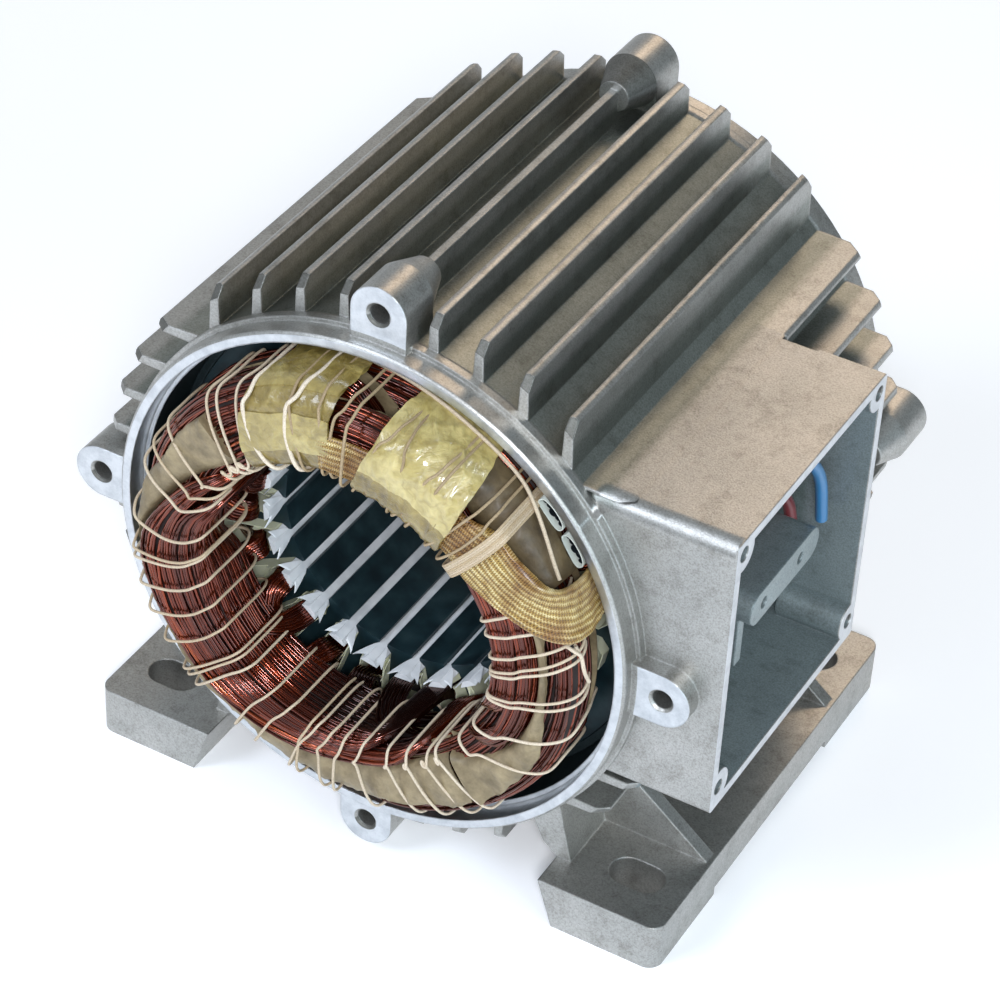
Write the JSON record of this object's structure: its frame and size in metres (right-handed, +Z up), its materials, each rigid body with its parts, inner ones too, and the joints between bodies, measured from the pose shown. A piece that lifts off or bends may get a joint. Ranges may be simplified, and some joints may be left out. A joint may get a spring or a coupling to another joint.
{
  "type": "wound motor stator",
  "caption": "Foot-mounted finned cast frame with an open terminal box, slotted laminated core and laced copper end windings.",
  "frame": {"origin": "centre of the four foot slots, on the plane that the feet stand on", "axes": "+Z up, Y along the shaft axis with the lead end at -Y, +X towards the terminal box"},
  "size_m": [0.1792, 0.1683, 0.1767],
  "materials": {
    "cast_housing": "satin",
    "lamination_steel": "satin",
    "enamelled_copper": "gloss",
    "slot_paper": "matte",
    "wedge_strip": "matte",
    "phase_paper": "matte",
    "varnished_tape": "gloss",
    "lacing_cord": "matte",
    "woven_sleeve": "satin",
    "white_tube": "satin",
    "blue_lead": "satin",
    "red_lead": "satin"
  },
  "bodies": {
    "root": {"coil_u1_long": "enamelled_copper", "coil_u1_short": "enamelled_copper", "coil_u2_long": "enamelled_copper", "coil_u2_short": "enamelled_copper", "coil_v1_long": "enamelled_copper", "coil_v1_short": "enamelled_copper", "coil_v2_long": "enamelled_copper", "coil_v2_short": "enamelled_copper", "coil_w1_long": "enamelled_copper", "coil_w1_short": "enamelled_copper", "coil_w2_long": "enamelled_copper", "coil_w2_short": "enamelled_copper", "housing": "cast_housing", "lacing_front": "lacing_cord", "lacing_rear": "lacing_cord", "lead_blue": "blue_lead", "lead_red": "red_lead", "lead_sleeve": "woven_sleeve", "lead_tube_lower": "white_tube", "lead_tube_upper": "white_tube", "phase_paper_front_v1": "phase_paper", "phase_paper_front_v2": "phase_paper", "phase_paper_front_w1": "phase_paper", "phase_paper_front_w2": "phase_paper", "phase_paper_rear_v1": "phase_paper", "phase_paper_rear_v2": "phase_paper", "phase_paper_rear_w1": "phase_paper", "phase_paper_rear_w2": "phase_paper", "sleeve_tie_band": "lacing_cord", "slot_liners": "slot_paper", "slot_wedges": "wedge_strip", "stator_core": "lamination_steel", "tape_wrap_left": "varnished_tape", "tape_wrap_right": "varnished_tape"}
  },
  "joints": []
}
